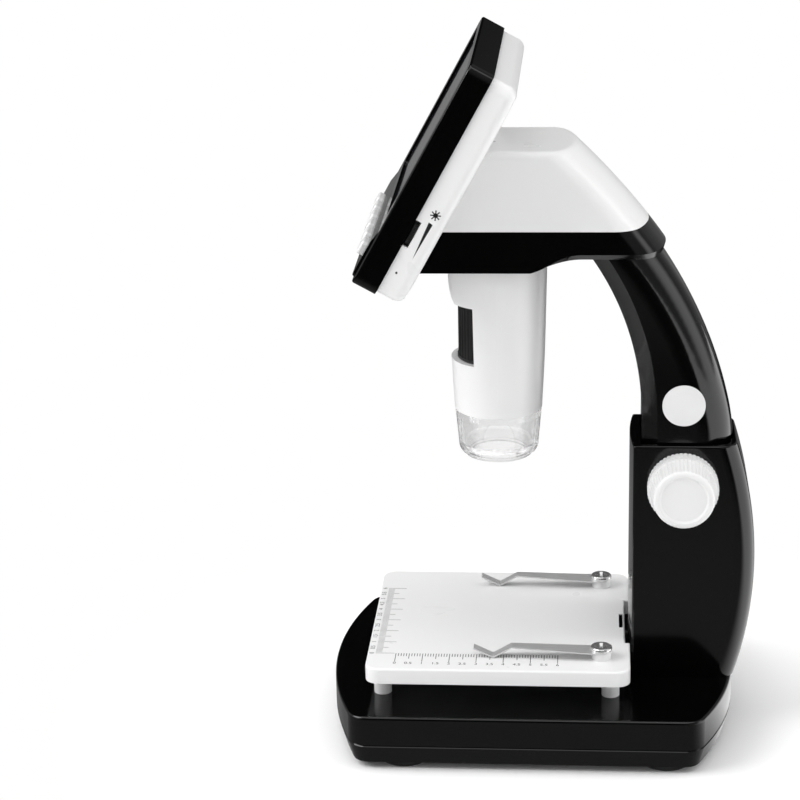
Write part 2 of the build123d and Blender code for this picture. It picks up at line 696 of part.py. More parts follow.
def arm_pieces():
    """The rounded back shell and the bevelled front cover of the arm."""
    shell = arm_shell()
    zone = arm_front_zone()
    cover = shell & zone
    body = shell - zone
    for x, y in ARM_SCREWS:
        body += rod(x, y, ARM_TOP - 8.0, ARM_TOP, BOSS_R - 0.4)
        body -= rod(x, y, ARM_TOP - 7.0, ARM_TOP + 1, SCREW_R + SET)
    reach = ARM_HALF + 5
    play = SHAFT_R + 0.6
    for z in (SHAFT_Z, SHAFT_Z + TRAVEL_DOWN):
        body -= rod_x(-reach, reach, SHAFT_Y, z, play)
    body -= box(-reach, reach, SHAFT_Y - play, SHAFT_Y + play, SHAFT_Z, SHAFT_Z + TRAVEL_DOWN)
    body -= rod_x(ARM_HALF - 0.25, ARM_HALF + 5, SHAFT_Y, DISC_Z, DISC_R + 0.12)
    for z in RACK_SCREWS:
        cover -= rod_y(ARM_FRONT - 1, RACK_SEAT + 1, 0, z, SCREW_R + SET)
        cover -= Pos(0, ARM_FRONT + 0.65, z) * Rot(90, 0, 0) * Cone(SCREW_R + 0.05, 2.5, 1.35)
    return body, cover


def arm_disc():
    return rod_x(ARM_HALF - 0.25, ARM_HALF, SHAFT_Y, DISC_Z, DISC_R)


def arm_screws():
    return join(screw(x, y, ARM_TOP + THIN, 8.5, up=-1) for x, y in ARM_SCREWS)


# ================================================================ display frame of reference
TILT_SIN = math.sin(math.radians(TILT))
TILT_COS = math.cos(math.radians(TILT))
FACE = Plane(origin=(0, FACE_Y, FACE_Z), x_dir=(1, 0, 0), z_dir=(0, -TILT_COS, TILT_SIN))


def on_face(shape):
    """Place a shape drawn with X across, Y up the display and Z out of its face."""
    return FACE.location * shape


def back_plane_y(z, depth=DISP_DEPTH):
    """Where a plane parallel to the face, so far behind it, stands at one height."""
    return FACE_Y + depth * TILT_COS + (z - FACE_Z + depth * TILT_SIN) * TILT_SIN / TILT_COS


def slab(width, height, z0, z1, radius, x=0.0, y=0.0):
    """A plate with rounded corners lying in the display's own frame."""
    return Pos(x, y, z0) * extrude(RectangleRounded(width, height, radius), z1 - z0)


# ================================================================ head
HEAD_BACK_CENTRE = arc_centre((HEAD_BACK_LOW, ARM_TOP), (HEAD_BACK_HIGH, HEAD_TOP), HEAD_BACK_R)
HEAD_FRONT = -120.0
HEAD_TAIL = 20.0


def head_back_y(z, inset=0.0):
    """Where the sweeping back of the head stands at one height."""
    y, z0 = HEAD_BACK_CENTRE
    return y + math.sqrt((HEAD_BACK_R - inset) ** 2 - (z - z0) ** 2)


def head_plan(z, inset=0.0, trim=0.0):
    """Plan of the head at one height: straight sides, round corners, a bowed back."""
    half = HEAD_HALF - inset - trim
    back = head_back_y(z, inset) - trim
    radius = HEAD_BOW_R - inset - trim
    corner = back - radius + math.sqrt(radius ** 2 - half ** 2)
    with BuildSketch() as plan:
        with BuildLine():
            Line((-half, HEAD_FRONT), (half, HEAD_FRONT))
            Line((half, HEAD_FRONT), (half, corner))
            ThreePointArc((half, corner), (0, back), (-half, corner))
            Line((-half, corner), (-half, HEAD_FRONT))
        make_face()
        fillet([v for v in plan.vertices() if v.Y > 0], HEAD_CORNER_R - inset - trim)
    return Pos(0, 0, z) * plan.sketch


def under_ramp(inset, rise, end):
    """Side view of the space below the head, whose upper line climbs a ramp to the back."""
    low = HEAD_BOTTOM + inset
    high = ARM_TOP + inset + rise
    start, stop = (y - 0.3 * inset for y in RAMP_Y)
    below = low - 3.0
    with BuildSketch() as side:
        with BuildLine():
            Line((start, below), (start, low))
            Spline((start, low), (stop, high), tangents=[(1, 0.25), (1, 0)])
            Line((stop, high), (end, high))
            Line((end, high), (end, below))
            Line((end, below), (start, below))
        make_face()
    return side.sketch


def side_bevel():
    """What is cut off the lower right edge: a bevel that grows along the ramp."""
    over = 1.0
    inner = Pos(HEAD_HALF - HEAD_BEVEL - over, 0, 0) * (Plane.YZ * under_ramp(0, -over, HEAD_TAIL))
    outer = Pos(HEAD_HALF + over, 0, 0) * (Plane.YZ * under_ramp(0, HEAD_BEVEL + over, HEAD_TAIL))
    return loft([inner, outer], ruled=True)


def behind_display(reach):
    """Everything behind the back of the display housing, or so far ahead of it."""
    low, high = HEAD_BOTTOM - 10, HEAD_TOP + 10
    side = Polygon((back_plane_y(low) - reach, low), (90, low), (90, high),
                   (back_plane_y(high) - reach, high), align=None)
    return side_plate(side, -HEAD_HALF - 1, HEAD_HALF + 1)


def head_block(inset, reach=0.0, bevel=0.0):
    """The head as one solid: ramped below, swept and bowed at the back, bevelled round its lower edge."""
    low = ARM_TOP + inset + bevel
    top = HEAD_TOP - inset
    upper = loft([head_plan(z, inset) for z in (low, (low + top) / 2, top)])
    upper = fillet([e for e in edges_near(upper, top) if e.center().Y > HEAD_FRONT + 1],
                   HEAD_TOP_FILLET - min(inset, 1.5))
    lower = extrude(head_plan(low, inset), -(low - HEAD_BOTTOM - inset))
    lower -= side_plate(under_ramp(inset, 0, 90), -HEAD_HALF - 1, HEAD_HALF + 1)
    if bevel:
        tail = box(-40, 40, HEAD_TAIL, 90, ARM_TOP, low)
        ring = loft([head_plan(ARM_TOP, 0, bevel), head_plan(low)], ruled=True)
        lower = (lower - tail) + (ring & tail)
        lower -= both(side_bevel())
    return (upper + lower) & behind_display(reach)


LOW_BOSSES = [(sx * 17.0, -28.0) for sx in (-1, 1)]
CAP_BOSSES = [(sx * 17.0, 6.0) for sx in (-1, 1)]
TRAY_LEGS = [(sx * 17.3, y) for sx in (-1, 1) for y in (-1.5, 14.0)]
TRAY_Z = 198.0
TRAY_T = 1.4
FLANGE_R = 19.6
EARS = [(sx * 10.75, BARREL_Y - 18.6) for sx in (-1, 1)]


def head_bosses(places):
    """Screw bosses standing off the back of the display housing."""
    posts = join(Pos(x, y, -DISP_DEPTH - 5) * Cylinder(BOSS_R - 0.2, 10) for x, y in places)
    return on_face(posts)


def head_pilots(places):
    return on_face(join(Pos(x, y, -DISP_DEPTH - 4) * Cylinder(SCREW_R + SET, 9) for x, y in places))


def head_lower_shell():
    outer = head_block(0, bevel=HEAD_BEVEL)
    keep = box(-40, 40, -90, 90, 100, HEAD_SPLIT)
    hollow = head_block(THIN, 8.0) - head_bosses(LOW_BOSSES)
    for x, y in TRAY_LEGS:
        hollow -= rod(x, y, HEAD_BOTTOM, HEAD_TOP, 2.0)
    shell = (outer & keep) - hollow
    for x, y in TRAY_LEGS:
        shell += rod(x, y, HEAD_SPLIT - 1, TRAY_Z, 2.0)
    shell -= head_pilots(LOW_BOSSES)
    shell -= rod(0, BARREL_Y, HEAD_BOTTOM - 1, HEAD_BOTTOM + 7, BARREL_R + 0.1)
    for x, y in ARM_SCREWS:
        shell -= rod(x, y, ARM_TOP - 1, ARM_TOP + THIN + 1, SCREW_R + GAP)
    for x, y in EARS:
        shell -= rod(x, y, HEAD_BOTTOM + 0.6, HEAD_BOTTOM + 3, SCREW_R + SET)
    for x, y in TRAY_LEGS:
        shell -= rod(x, y, TRAY_Z - 6, TRAY_Z + 1, 0.8 + SET)
    return shell


def head_top_cap():
    keep = box(-40, 40, -90, 90, HEAD_SPLIT, 300)
    hollow = head_block(THIN, 8.0) - head_bosses(CAP_BOSSES)
    cap = (head_block(0) & keep) - hollow
    return cap - head_pilots(CAP_BOSSES)


def head_screws():
    seat = -DISP_DEPTH + THIN
    bodies = []
    for x, y in LOW_BOSSES + CAP_BOSSES:
        bodies.append(Pos(x, y) * (rod(0, 0, seat, seat + SCREW_HEAD_H, SCREW_HEAD_R)
                                   + rod(0, 0, seat - 9.5, seat, SCREW_R)))
    return on_face(join(bodies))


def battery_tray():
    tray = slab(2 * 19.2, 32.0, TRAY_Z, TRAY_Z + TRAY_T, 2.0, y=6.0)
    rim = slab(31.4, 29.6, TRAY_Z, TRAY_Z + 4.0, 1.5, y=6.0)
    rim -= slab(29.0, 27.2, TRAY_Z - 1, TRAY_Z + 5, 1.0, y=6.0)
    tray += rim
    for x, y in TRAY_LEGS:
        tray -= rod(x, y, TRAY_Z - 1, TRAY_Z + TRAY_T + 1, 1.1)
    return tray


def tray_screws():
    seat = TRAY_Z + TRAY_T
    bodies = []
    for x, y in TRAY_LEGS:
        bodies.append(rod(x, y, seat, seat + 1.0, 1.6) + rod(x, y, seat - 6.5, seat, 0.8))
    return join(bodies)


def battery():
    cell = slab(28.6, 26.8, 0, 8.0, 2.0, y=6.0)
    return Pos(0, 0, TRAY_Z + TRAY_T) * fillet(cell.edges().filter_by(Axis.Z, reverse=True), 0.8)


# ================================================================ display housing
CORNER_IN = 5.5
CORNERS = [(sx * (DISP_HALF - CORNER_IN), DISP_MID + sy * (DISP_UP - CORNER_IN)) for sx in (-1, 1)
           for sy in (-1, 1)]
FIXING_IN = 5.4
BOARD_FIXINGS = [(sx * (DISP_HALF - FIXING_IN), y) for sx in (-1, 1) for y in (-27.0, 24.0)]
CORNER_POST_R = 3.0
BUTTON_X = [(k - (BUTTONS - 1) / 2) * BUTTON_PITCH for k in range(BUTTONS)]
PANEL_IN = 3.4
PANEL = (2 * (DISP_HALF - PANEL_IN), 19.0)
PANEL_MID = -31.9
PANEL_T = 0.6
PANEL_PROUD = 0.9
PANEL_RAMP = 5.2
SHELL_FRONT = -2.0
SEAM = -FRONT_DEPTH
REAR_INSIDE = -DISP_DEPTH + THIN
WHEEL_X = REAR_HALF + WHEEL_PROUD - WHEEL_R
WHEEL_Z = (SEAM - 1.9, SEAM - 0.4)
SOCKET_UP = -5.0
SOCKET = (7.0, 8.0, 3.0)


def button_holes(play):
    width, height = BUTTON_SIZE
    return join(slab(width + 2 * play, height + 2 * play, -6, 6, 1.2 + play, x, BUTTON_UP) for x in BUTTON_X)


def socket_port():
    """Opening for the cable socket in the left side of the housing."""
    back = BOARD_BACK - SOCKET[2] - 0.3
    return box(-DISP_HALF - 2, -DISP_HALF + 4, SOCKET_UP - SOCKET[1] / 2 - 0.3,
               SOCKET_UP + SOCKET[1] / 2 + 0.3, back, BOARD_BACK + 0.3)


def screen_bezel():
    shell = slab(2 * DISP_HALF, 2 * DISP_UP, SEAM, 0, DISP_CORNER_R, y=DISP_MID)
    shell = fillet(edges_near(shell, 0), 0.8)
    inner = DISP_HALF - THIN
    shell -= slab(2 * inner, 2 * (DISP_UP - THIN), SEAM - 1, SHELL_FRONT, DISP_CORNER_R - THIN, y=DISP_MID)
    shell -= slab(APERTURE[0], APERTURE[1], -5, 1, 1.0, y=GLASS_UP)
    shell -= slab(GLASS[0] + 0.3, GLASS[1] + 0.3, -GLASS_SUNK - GLASS_T, 1, 1.5, y=GLASS_UP)
    shell -= slab(PANEL[0] + 0.2, PANEL[1] + 0.2, -PANEL_T, 1, 2.0, y=PANEL_MID)
    shell -= button_holes(0.25)
    for x, y in CORNERS:
        shell += rod(x, y, SEAM, SHELL_FRONT + 0.5, CORNER_POST_R)
        shell -= rod(x, y, SEAM - 1, SHELL_FRONT - 1.5, SCREW_R + SET)
    for x, y in BOARD_FIXINGS:
        shell += rod(x, y, BOARD_BACK + BOARD_T, SHELL_FRONT + 0.5, 2.2)
        shell -= rod(x, y, BOARD_BACK, SHELL_FRONT - 0.6, 0.8 + SET)
    return on_face(shell - socket_port())


def screen_rear_shell():
    shell = slab(2 * REAR_HALF, 2 * REAR_UP, -DISP_DEPTH, SEAM, REAR_CORNER_R, y=DISP_MID)
    shell = fillet(edges_near(shell, -DISP_DEPTH), REAR_EDGE)
    room = slab(2 * (REAR_HALF - THIN), 2 * (REAR_UP - THIN), REAR_INSIDE, SEAM + 1, REAR_CORNER_R - THIN,
                y=DISP_MID)
    shell -= fillet(edges_near(room, REAR_INSIDE), REAR_EDGE - THIN)
    for x, y in CORNERS:
        shell += rod(x, y, REAR_INSIDE - 0.5, SEAM, CORNER_POST_R)
        shell -= rod(x, y, -DISP_DEPTH - 1, SEAM + 1, SCREW_R + GAP)
        shell -= rod(x, y, -DISP_DEPTH - 1, -DISP_DEPTH + 3.0, SCREW_HEAD_R + GAP)
    shell += rod(WHEEL_X, WHEEL_UP, REAR_INSIDE - 0.5, WHEEL_Z[0] - GAP, 2.8)
    shell -= rod(WHEEL_X, WHEEL_UP, REAR_INSIDE + 0.4, SEAM, 1.5 + GAP)
    for x, y in LOW_BOSSES + CAP_BOSSES:
        shell -= rod(x, y, -DISP_DEPTH - 1, REAR_INSIDE + 1, SCREW_R + GAP)
    shell -= box(-11, 11, -24, 2, -DISP_DEPTH - 1, REAR_INSIDE + 1)
    reach = WHEEL_R - 0.7
    shell -= box(WHEEL_X, REAR_HALF + 1, WHEEL_UP - reach + 0.2, WHEEL_UP + reach - 0.2, SEAM - 2.2, SEAM + 1)
    return on_face(shell - socket_port())


def housing_screws():
    seat = -DISP_DEPTH + 3.0
    bodies = []
    for x, y in CORNERS:
        bodies.append(rod(x, y, seat - SCREW_HEAD_H, seat, SCREW_HEAD_R) + rod(x, y, seat, -4.5, SCREW_R))
    return on_face(join(bodies))


def display_glass():
    return on_face(slab(GLASS[0], GLASS[1], -GLASS_SUNK - GLASS_T, -GLASS_SUNK, 1.4, y=GLASS_UP))


def lcd_panel():
    width, height = APERTURE[0] + 1.4, APERTURE[1] + 2.4
    return on_face(slab(width, height, BOARD_BACK + BOARD_T, SHELL_FRONT, 0.8, y=GLASS_UP))


def control_panel():
    """The strip round the buttons: it climbs from the glass to a raised field."""
    plate = slab(PANEL[0], PANEL[1], -PANEL_T, PANEL_PROUD, 1.9, y=PANEL_MID)
    low, high = PANEL_MID - PANEL[1] / 2, PANEL_MID + PANEL[1] / 2
    side = Polygon((low, -PANEL_T), (high, -PANEL_T), (high, 0), (high - PANEL_RAMP, PANEL_PROUD),
                   (low + 0.8, PANEL_PROUD), (low, 0), align=None)
    plate &= side_plate(side, -DISP_HALF, DISP_HALF)
    return on_face(plate - button_holes(0.25))


def button(x):
    """A key cap with the flange that holds it behind the front wall."""
    width, height = BUTTON_SIZE
    cap = slab(width, height, SHELL_FRONT - 0.05, BUTTON_PROUD, 1.2)
    cap = fillet(edges_near(cap, BUTTON_PROUD), 0.9)
    cap += slab(width + 1.6, height + 1.6, SHELL_FRONT - 0.85, SHELL_FRONT - 0.05, 1.2)
    return on_face(Pos(x, BUTTON_UP) * cap)


def keypad_mat():
    top = BOARD_BACK + BOARD_T + 1.0
    mat = slab(74.0, 6.6, top - 1.0, top, 1.0, y=BUTTON_UP)
    rest = SHELL_FRONT - 0.85 - BUTTON_TRAVEL - 0.05
    for x in BUTTON_X:
        mat += Pos(x, BUTTON_UP, (top + rest) / 2 - 0.1) * Cone(2.4, 1.6, rest - top + 0.2)
    return on_face(mat)


def main_board():
    width = 2 * (DISP_HALF - THIN - 2.0)
    height = 2 * (DISP_UP - CORNER_IN - CORNER_POST_R - GAP)
    board = slab(width, height, BOARD_BACK, BOARD_BACK + BOARD_T, 1.0, y=DISP_MID)
    for x, y in BOARD_FIXINGS:
        board -= rod(x, y, BOARD_BACK - 1, BOARD_BACK + 3, 1.1)
    low = BOARD_BACK - 1.5
    for x, y, w, h in ((-14, 12, 12, 12), (8, 16, 10, 8), (6, -14, 8, 8), (-24, -8, 7, 10), (20, 2, 6, 6)):
        board += box(x - w / 2, x + w / 2, y - h / 2, y + h / 2, low, BOARD_BACK)
    return on_face(board)


def board_screws():
    bodies = []
    for x, y in BOARD_FIXINGS:
        bodies.append(rod(x, y, BOARD_BACK - 1.2, BOARD_BACK, 1.7) + rod(x, y, BOARD_BACK, -3.2, 0.8))
    return on_face(join(bodies))


def brightness_wheel():
    rim = Circle(WHEEL_R) - [p * Circle(0.28) for p in PolarLocations(WHEEL_R + 0.08, 36)]
    disc = Pos(WHEEL_X, WHEEL_UP, WHEEL_Z[0]) * extrude(rim, WHEEL_Z[1] - WHEEL_Z[0])
    return on_face(disc - rod(WHEEL_X, WHEEL_UP, SEAM - 5, SEAM + 5, 1.5 + RUN))


def potentiometer():
    side = 5.8
    can = box(WHEEL_X - side / 2, WHEEL_X + side / 2, WHEEL_UP - side / 2, WHEEL_UP + side / 2,
              WHEEL_Z[1] + 0.15, BOARD_BACK)
    return on_face(can + rod(WHEEL_X, WHEEL_UP, WHEEL_Z[0] - 2.0, BOARD_BACK, 1.5))


def usb_socket():
    length, width, height = SOCKET
    x0 = -DISP_HALF + 1.4
    low, high = SOCKET_UP - width / 2, SOCKET_UP + width / 2
    shell = box(x0, x0 + length, low, high, BOARD_BACK - height, BOARD_BACK)
    shell = fillet(shell.edges().filter_by(Axis.X), 0.5)
    shell -= box(x0 - 1, x0 + length - 1, SOCKET_UP - width / 2 + 0.4, SOCKET_UP + width / 2 - 0.4,
                 BOARD_BACK - height + 0.4, BOARD_BACK - 0.4)
    mid = BOARD_BACK - height / 2
    shell += box(x0 + 1.0, x0 + length, SOCKET_UP - 2.4, SOCKET_UP + 2.4, mid - 0.35, mid + 0.35)
    return on_face(shell)


# ================================================================ camera barrel
def on_axis(shape):
    """Move a body turned about Z to the optical axis."""
    return Pos(0, BARREL_Y, 0) * shape


def barrel_shell():
    flange = HEAD_BOTTOM + THIN
    scoop_z = WINDOW[1] + 9.0
    body = lathe([(BORE_R, BARREL_JOINT), (BARREL_JOINT_R, BARREL_JOINT), (BARREL_MID_R, WINDOW[0]),
                  (BARREL_R, scoop_z), (BARREL_R, flange), (FLANGE_R, flange), (FLANGE_R, flange + 2),
                  (16.0, flange + 2), (16.0, SHELF_Z + 2), (11.0, SHELF_Z + 2), (11.0, SHELF_Z),
                  (BORE_R, SHELF_Z)])
    body = on_axis(body)
    for x, y in EARS:
        body += rod(x, y, flange, flange + 2, 3.0)
    body -= rod(0, BARREL_Y, flange - 1, flange + 3, 16.0)
    body -= box(-30, 30, RAMP_Y[0] - 0.8, 30, flange, 300) - rod(0, BARREL_Y, flange - 1, 300, BARREL_R)
    for x, y in EARS:
        body -= rod(x, y, flange - 1, flange + 3, SCREW_R + GAP)
    reach = 40.0
    spread = math.radians(WINDOW_HALF_ANGLE)
    wedge = Polygon((0, 0), (-reach * math.sin(spread), -reach * math.cos(spread)), (0, -reach),
                    (reach * math.sin(spread), -reach * math.cos(spread)), align=None)
    window = Pos(0, 0, WINDOW[0]) * extrude(wedge, WINDOW[1] - WINDOW[0])
    window -= rod(0, 0, 0, 300, BORE_R - 1)
    body -= on_axis(window)
    y_out = BARREL_Y - BARREL_R
    y_in = BARREL_Y - FOCUS_R
    low = WINDOW[1] - 1.2
    with BuildSketch() as scoop:
        with BuildLine():
            Line((y_in, low), (y_out - 6, low))
            Line((y_out - 6, low), (y_out - 6, scoop_z))
            Line((y_out - 6, scoop_z), (y_out, scoop_z))
            TangentArc((y_out, scoop_z), (y_in, low), tangent=(0, -1))
        make_face()
    cut = side_plate(scoop.sketch, -14.5, 14.5)
    body -= cut - rod(0, BARREL_Y, 0, 300, BORE_R - 1)
    for x in (-8.0, 8.0):
        for y in (-8.0, 8.0):
            body += rod(x, BARREL_Y + y, SHELF_Z + 1, SHELF_Z + 5.6, 1.6)
    return body


def barrel_screws():
    flange = HEAD_BOTTOM + THIN
    return join(screw(x, y, flange + 2, 3.2, up=-1) for x, y in EARS)


def key_pair(r_in, r_out, half, z0, z1):
    return both(box(r_in, r_out, -half, half, z0, z1))


def barrel_ring():
    out = BORE_R - SET
    low = LED_Z + 1.2
    ring = lathe([(GUIDE_R, RING_TOP - RING_T), (13.4, RING_TOP - RING_T), (13.4, low), (out, low),
                  (out, RING_TOP), (GUIDE_R, RING_TOP)])
    ring -= key_pair(GUIDE_R - 1, GUIDE_R + 1.0, 1.2, RING_TOP - RING_T - 1, RING_TOP + 1)
    return on_axis(ring)


def focus_wheel():
    z0 = RING_TOP + GAP
    z1 = SHELF_Z - GAP
    collar = 1.1
    ribbed = Circle(FOCUS_R) - [p * Circle(0.42) for p in PolarLocations(FOCUS_R + 0.12, FOCUS_RIBS)]
    wheel = Pos(0, 0, z0) * extrude(ribbed, z1 - z0)
    wheel += rod(0, 0, z0, z0 + collar, BORE_R - RUN)
    wheel += rod(0, 0, z1 - collar, z1, BORE_R - RUN)
    return on_axis(wheel - rod(0, 0, z0 - 1, z1 + 1, FOCUS_BORE_R))


CARRIAGE_LOW = LED_Z + 0.8
CARRIAGE = (150.0, 159.0)


def lens_carriage():
    tube = GUIDE_R - RUN
    rim = FOCUS_BORE_R - RUN
    low, high = CARRIAGE
    body = lathe([(7.0, CARRIAGE_LOW), (tube - 0.5, CARRIAGE_LOW), (tube, CARRIAGE_LOW + 0.5), (tube, low),
                  (rim, low), (rim, high), (8.2, high), (8.2, high - 4.2), (7.2, high - 4.2),
                  (7.2, CARRIAGE_LOW + 5.2), (8.0, CARRIAGE_LOW + 5.2), (8.0, CARRIAGE_LOW + 1.0),
                  (7.0, CARRIAGE_LOW + 1.0)])
    body += key_pair(tube - 0.8, GUIDE_R + 0.85, 1.1, 134.5, low)
    return on_axis(body)


def lens(z0, z1, r, bulge):
    """A lens with both faces curved, resting between two heights."""
    curve = (r ** 2 + bulge ** 2) / (2 * bulge)
    glass = rod(0, 0, z0 - 1, z1 + 1, r) & Pos(0, 0, z1 - curve) * Sphere(curve)
    return on_axis(glass & Pos(0, 0, z0 + curve) * Sphere(curve))


def lenses():
    high = CARRIAGE[1]
    front = lens(CARRIAGE_LOW + 1.0, CARRIAGE_LOW + 5.2, 8.0 - SET, 1.1)
    return join([front, lens(high - 4.2, high - 0.4, 8.2 - SET, 0.9)])


def led_ring_board():
    return on_axis(rod(0, 0, LED_Z, LED_Z + 1.2, 14.5) - rod(0, 0, LED_Z - 1, LED_Z + 2, GUIDE_R + 0.4))


def leds():
    lamp = box(-1.3, 1.3, -1.3, 1.3, LED_Z - 0.7, LED_Z) + rod(0, 0, LED_Z - 1.2, LED_Z, 1.0)
    return on_axis(join(p * lamp for p in PolarLocations(LED_R, LEDS)))


def sensor_board():
    board = slab(21.0, 21.0, SHELF_Z + 5.6, SHELF_Z + 7.0, 1.0)
    board += box(-4.5, 4.5, -4.5, 4.5, SHELF_Z + 4.2, SHELF_Z + 5.6)
    board += box(-6, 6, 3, 8, SHELF_Z + 7.0, SHELF_Z + 9.2)
    return on_axis(board)


def clear_cup():
    top = BARREL_JOINT - 0.05
    ledge = CUP_LOW - 3.5
    with BuildSketch() as wall:
        with BuildLine():
            Polyline((BORE_R - 0.1, BARREL_JOINT + SPIGOT_H), (BORE_R - 0.1, top), (CUP_R, top),
                     (CUP_LOW_R, CUP_LOW))
            ThreePointArc((CUP_LOW_R, CUP_LOW), (CUP_LOW_R - 0.45, CUP_LOW - 2.0), (12.9, ledge))
            Polyline((12.9, ledge), (12.3, CUP_BOTTOM), (10.6, CUP_BOTTOM), (10.6, CUP_BOTTOM + 2.6),
                     (12.9, CUP_LOW + 1.0), (14.0, top - 3.0), (13.3, top), (13.3, BARREL_JOINT + SPIGOT_H),
                     (BORE_R - 0.1, BARREL_JOINT + SPIGOT_H))
        make_face()
    return on_axis(revolve(Plane.XZ * wall.sketch, Axis.Z))


# ================================================================ assembly
column = column_block()
arm_body, arm_front_cover = arm_pieces()
key = knob_right()

PIECES = {
    "base_top_shell": base_top_shell(),
    "base_bottom_cover": base_bottom_cover(),
    "base_screws": base_screws(),
    "base_ballast": base_ballast(),
    "rubber_feet": rubber_feet(),
    "stage_plate": stage_plate(),
    "stage_screws": stage_screws(),
    "clip_right": Pos(CLIP_X, CLIP_Y, CLIP_SEAT) * stage_clip(),
    "clip_left": Pos(-CLIP_X, CLIP_Y, CLIP_SEAT) * stage_clip(),
    "clip_screws": clip_screws(),
    "column_right": column & box(0, 40, 0, 120, 0, 150),
    "column_left": column & box(-40, 0, 0, 120, 0, 150),
    "column_screws": column_screws(),
    "column_base_screws": column_base_screws(),
    "knob_right": key,
    "knob_left": mirror(key, about=Plane.YZ),
    "knob_shaft": knob_shaft(),
    "knob_washers": knob_washers(),
    "pinion": pinion(),
    "rack": rack(),
    "rack_screws": rack_screws(),
    "arm_body": arm_body,
    "arm_front_cover": arm_front_cover,
    "arm_disc": arm_disc(),
    "arm_screws": arm_screws(),
    "head_lower_shell": head_lower_shell(),
    "head_top_cap": head_top_cap(),
    "head_screws": head_screws(),
    "battery_tray": battery_tray(),
    "tray_screws": tray_screws(),
    "battery": battery(),
    "screen_rear_shell": screen_rear_shell(),
    "screen_bezel": screen_bezel(),
    "housing_screws": housing_screws(),
    "display_glass": display_glass(),
    "lcd_panel": lcd_panel(),
    "control_panel": control_panel(),
    "keypad_mat": keypad_mat(),
    "main_board": main_board(),
    "board_screws": board_screws(),
    "brightness_wheel": brightness_wheel(),
    "potentiometer": potentiometer(),
    "usb_socket": usb_socket(),
    "barrel_shell": barrel_shell(),
    "barrel_screws": barrel_screws(),
    "barrel_ring": barrel_ring(),
    "focus_wheel": focus_wheel(),
    "lens_carriage": lens_carriage(),
    "lenses": lenses(),
    "led_ring_board": led_ring_board(),
    "leds": leds(),
    "sensor_board": sensor_board(),
    "clear_cup": clear_cup(),
}
for number, place in enumerate(BUTTON_X, 1):
    PIECES[f"button_{number}"] = button(place)

for name, shape in PIECES.items():
    save(name, shape)
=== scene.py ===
import math

import bmesh
import bpy
from mathutils import Matrix, Vector


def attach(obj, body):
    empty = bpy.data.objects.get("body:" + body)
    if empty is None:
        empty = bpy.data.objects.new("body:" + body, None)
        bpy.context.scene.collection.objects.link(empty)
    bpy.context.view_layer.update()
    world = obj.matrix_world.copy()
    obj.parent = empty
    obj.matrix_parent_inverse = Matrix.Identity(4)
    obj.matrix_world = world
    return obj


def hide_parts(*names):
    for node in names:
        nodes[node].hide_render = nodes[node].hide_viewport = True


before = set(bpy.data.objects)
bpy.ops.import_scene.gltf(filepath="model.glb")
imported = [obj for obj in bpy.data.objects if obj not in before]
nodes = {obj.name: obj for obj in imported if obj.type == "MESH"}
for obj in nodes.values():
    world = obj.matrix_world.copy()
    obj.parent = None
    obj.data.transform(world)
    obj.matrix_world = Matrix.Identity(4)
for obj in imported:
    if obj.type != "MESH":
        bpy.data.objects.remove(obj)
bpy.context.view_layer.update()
MM = 0.001


def linked(name, data):
    """A new object in the scene that shows the given data."""
    piece = bpy.data.objects.new(name, data)
    bpy.context.scene.collection.objects.link(piece)
    return piece


def empty_tree(holder, output):
    """The cleared node tree of a material or a world, and its output node."""
    holder.use_nodes = True
    tree = holder.node_tree
    tree.nodes.clear()
    return tree, tree.nodes.new(output)


# ================================================================ materials
NOISE_LOW, NOISE_HIGH = 0.3, 0.7    # noise values are mostly between these two
DRIFT_SCALE = 35.0                  # the slow colour drift of a moulding
GLOSS_SCALE = 60.0                  # its uneven gloss
PLASTIC_IOR = 1.5


def new_material(name):
    mat = bpy.data.materials.new(name)
    tree, out = empty_tree(mat, "ShaderNodeOutputMaterial")
    shader = tree.nodes.new("ShaderNodeBsdfPrincipled")
    tree.links.new(shader.outputs["BSDF"], out.inputs["Surface"])
    return mat, tree, shader


def noise(tree, scale, detail=2.0, rough=0.5, stretch=None):
    """Noise in the frame's own metres; stretch scales the coordinates first."""
    coords = tree.nodes.new("ShaderNodeTexCoord")
    tex = tree.nodes.new("ShaderNodeTexNoise")
    tex.inputs["Scale"].default_value = scale
    tex.inputs["Detail"].default_value = detail
    tex.inputs["Roughness"].default_value = rough
    source = coords.outputs["Object"]
    if stretch:
        mapping = tree.nodes.new("ShaderNodeMapping")
        mapping.inputs["Scale"].default_value = stretch
        tree.links.new(source, mapping.inputs["Vector"])
        source = mapping.outputs["Vector"]
    tree.links.new(source, tex.inputs["Vector"])
    return tex.outputs["Fac"]


def spread(tree, fac, low, high):
    """A noise value mapped to a range of numbers."""
    node = tree.nodes.new("ShaderNodeMapRange")
    node.clamp = False
    node.inputs["From Min"].default_value = NOISE_LOW
    node.inputs["From Max"].default_value = NOISE_HIGH
    node.inputs["To Min"].default_value = low
    node.inputs["To Max"].default_value = high
    tree.links.new(fac, node.inputs["Value"])
    return node.outputs["Result"]


def paint(tree, shader, fac, first, second):
    """Base colour between two colours, by a 0..1 value."""
    node = tree.nodes.new("ShaderNodeMix")
    node.data_type = "RGBA"
    node.inputs["A"].default_value = (*first, 1)
    node.inputs["B"].default_value = (*second, 1)
    tree.links.new(fac, node.inputs["Factor"])
    tree.links.new(node.outputs["Result"], shader.inputs["Base Color"])


def gloss(tree, shader, fac, rough):
    """Roughness between two values, by noise."""
    tree.links.new(spread(tree, fac, *rough), shader.inputs["Roughness"])


